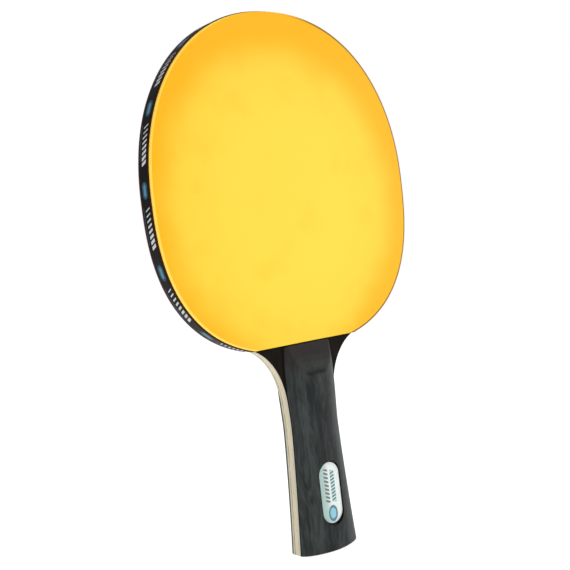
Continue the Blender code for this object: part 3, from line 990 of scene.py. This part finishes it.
def scale_ring(z, sign):
    """One cross section: a domed top, cut flat where the hollow crosses it."""
    ease = 0.35 * MM
    lip = 0.5 * MM
    blend = 0.5 * MM
    least_edge_x = 1.0 * MM
    taper = SCALE_TAPER * smooth_step(1 - (SCALE_TOP - z) / SCALE_TAPER_LENGTH)
    drawn_in = rounded_end(SCALE_TOP - z, SCALE_END_CORNER) + rounded_end(z, ease)
    half = handle_half_width(z) - taper - drawn_in
    height = SCALE_CROWN - SCALE_BASE - rounded_end(z, ease)
    ceiling = scoop_height(z) - SCALE_BASE - 0.5 * rounded_end(SCALE_TOP - z, lip)
    cut_share = min(1.0, max(0.0, ceiling / height))
    edge_x = half * (1 - cut_share**SCALE_EXPONENT) ** (1 / SCALE_EXPONENT)
    edge_x = max(edge_x, least_edge_x)
    turn = math.acos(min(1.0, (edge_x / half) ** (SCALE_EXPONENT / 2)))
    right = []
    for i in range(DOME_POINTS):
        angle = turn * i / DOME_POINTS
        right.append(half * math.cos(angle) ** (2 / SCALE_EXPONENT))
    right += [edge_x * (1 - i / FLAT_POINTS) for i in range(FLAT_POINTS)]
    ring = []
    for x in right + [0.0] + [-x for x in reversed(right)]:
        dome = height * max(0.0, 1 - (abs(x) / half) ** SCALE_EXPONENT) ** (1 / SCALE_EXPONENT)
        up = soft_min(dome, ceiling, blend) if dome > blend else dome
        ring.append((x, sign * (SCALE_BASE + max(up, 0.0)), z))
    return ring


def add_scale(node, sign, material, pocket=False):
    """One half of the handle. sign is that of its side's y."""
    mesh_data = bmesh.new()
    sections = []
    for z in scale_levels():
        sections.append([mesh_data.verts.new(corner) for corner in scale_ring(z, sign)])
    join_sections(mesh_data, sections)
    piece = make_object(node + "_fine", mesh_data, material)
    if pocket:
        cut_pocket(piece)
    stand_in(piece, node, "handle_wood")


def cut_pocket(piece):
    """The badge's pocket, with its floor where the CAD part has it and a narrow flared mouth."""
    weld = 0.005 * MM
    arc_steps = 48
    length = PLATE[1].z - PLATE[0].z + 2 * POCKET_MARGIN
    width = PLATE[1].x - PLATE[0].x + 2 * POCKET_MARGIN
    outline = capsule(length, width, BADGE_Z, arc_steps)
    widening = 2 * (SCALE_CROWN + MM - MOUTH_START) * MOUTH_SLOPE
    mouth = capsule(length + widening, width + widening, BADGE_Z, arc_steps)
    mesh_data = bmesh.new()
    slab(mesh_data, [(outline, POCKET_FLOOR_Y), (outline, -MOUTH_START), (mouth, -SCALE_CROWN - MM)])
    cutter = make_object("pocket_cutter", mesh_data, None)
    cut = piece.modifiers.new("pocket", "BOOLEAN")
    cut.operation = "DIFFERENCE"
    cut.object = cutter
    graph = bpy.context.evaluated_depsgraph_get()
    mesh = bpy.data.meshes.new_from_object(piece.evaluated_get(graph))
    mesh_data = bmesh.new()
    mesh_data.from_mesh(mesh)
    bmesh.ops.remove_doubles(mesh_data, verts=mesh_data.verts, dist=weld)
    mesh_data.to_mesh(mesh)
    mesh_data.free()
    piece.modifiers.clear()
    piece.data = mesh
    bpy.data.objects.remove(cutter)
    mesh.set_sharp_from_angle(angle=SHARP_ANGLE)


def dome_rings(length, width):
    """The dome: a short straight wall, and then a curve that levels off toward its middle."""
    back = DOME[1].y
    wall = 0.2 * MM
    rise = back - DOME[0].y - wall
    shoulder = 3.4 * MM
    steps = 16
    rings = [(capsule(length, width, BADGE_Z), back)]
    for i in range(steps + 1):
        share = i / steps
        ring = capsule(length - 2 * shoulder * share, width - 2 * shoulder * share, BADGE_Z)
        rings.append((ring, back - wall - rise * (1 - (1 - share) ** 2)))
    return rings


def add_badge():
    """The printed plate on the pocket's floor, and the clear dome on it."""
    ease = 0.08 * MM
    length = PLATE[1].z - PLATE[0].z
    width = PLATE[1].x - PLATE[0].x
    mesh_data = bmesh.new()
    eased_plate(mesh_data, capsule(length, width, BADGE_Z), PLATE[0].y, PLATE[1].y, ease)
    stand_in(make_object("badge_plate_fine", mesh_data, printed_badge()), "badge_plate", "badge_plate")
    mesh_data = bmesh.new()
    slab(mesh_data, dome_rings(length, width))
    stand_in(make_object("badge_dome_fine", mesh_data, clear_resin()), "badge_dome", "badge_dome")


# Stage, lights and camera


def add_floor():
    """A wide white floor just under the butt, which glows a little so that it stays white."""
    radius = 6.0
    drop = 0.2 * MM
    s = Surface("floor")
    mottle = s.noise(s.place(), 3.0, 3.0, 0.5)
    tone = s.mix(mottle, (0.93, 0.93, 0.93, 1.0), (0.96, 0.96, 0.96, 1.0))
    s.feed(s.shader.inputs["Emission Color"], tone)
    material = s.finish(tone, 0.8, Emission_Strength=FLOOR_GLOW, Specular_IOR_Level=0.0)
    mesh_data = bmesh.new()
    bmesh.ops.create_circle(mesh_data, cap_ends=True, segments=96, radius=radius)
    floor = make_object("floor", mesh_data, material)
    floor.location.z = -drop


def add_light(name, place, size, power):
    """A round area light aimed at the paddle."""
    data = bpy.data.lights.new(name, "AREA")
    data.shape = "DISK"
    data.size = size
    data.energy = power
    light = bpy.data.objects.new(name, data)
    bpy.context.scene.collection.objects.link(light)
    light.location = place
    toward = Vector(LIGHT_TARGET) - Vector(place)
    light.rotation_euler = toward.to_track_quat("-Z", "Y").to_euler()


def add_lights():
    """An even white studio: the lens sees it white, and the paddle is lit by a dimmer surround."""
    world = bpy.data.worlds.new("studio")
    bpy.context.scene.world = world
    world.use_nodes = True
    tree = world.node_tree
    surround = tree.nodes["Background"]
    surround.inputs["Color"].default_value = WHITE
    surround.inputs["Strength"].default_value = SURROUND
    backdrop = tree.nodes.new("ShaderNodeBackground")
    backdrop.inputs["Color"].default_value = WHITE
    path = tree.nodes.new("ShaderNodeLightPath")
    choose = tree.nodes.new("ShaderNodeMixShader")
    tree.links.new(path.outputs["Is Camera Ray"], choose.inputs[0])
    tree.links.new(surround.outputs[0], choose.inputs[1])
    tree.links.new(backdrop.outputs[0], choose.inputs[2])
    tree.links.new(choose.outputs[0], tree.nodes["World Output"].inputs["Surface"])
    for name, place, size, power in LIGHTS:
        add_light(name, place, size, power)
    bpy.context.scene.view_settings.view_transform = "Standard"


def add_camera():
    """The photograph's viewpoint: in front and to the left, turned a little about its own axis."""
    yaw = math.radians(37.5613)
    pitch = math.radians(2.2701)
    roll = math.radians(-6.6754)
    place = (-0.27655, -0.35247, 0.14579)
    lens_shift = 0.000877193  # a share of the picture's side
    data = bpy.data.cameras.new("camera")
    data.sensor_width = 36.0
    data.lens = 58.763
    data.clip_start = 0.01
    data.shift_x = -lens_shift
    data.shift_y = lens_shift
    camera = bpy.data.objects.new("camera", data)
    bpy.context.scene.collection.objects.link(camera)
    forward = Matrix.Rotation(-yaw, 4, "Z") @ Matrix.Rotation(math.pi / 2 - pitch, 4, "X")
    turned = forward @ Matrix.Rotation(roll, 4, "Z")
    camera.matrix_world = Matrix.Translation(place) @ turned
    bpy.context.scene.camera = camera


add_camera()
add_blade()
add_sponges()
add_topsheets()
add_tape()
handle = layered_handle()
add_scale("handle_scale_front", -1, handle, pocket=True)
add_scale("handle_scale_rear", 1, handle)
add_badge()
add_floor()
add_lights()
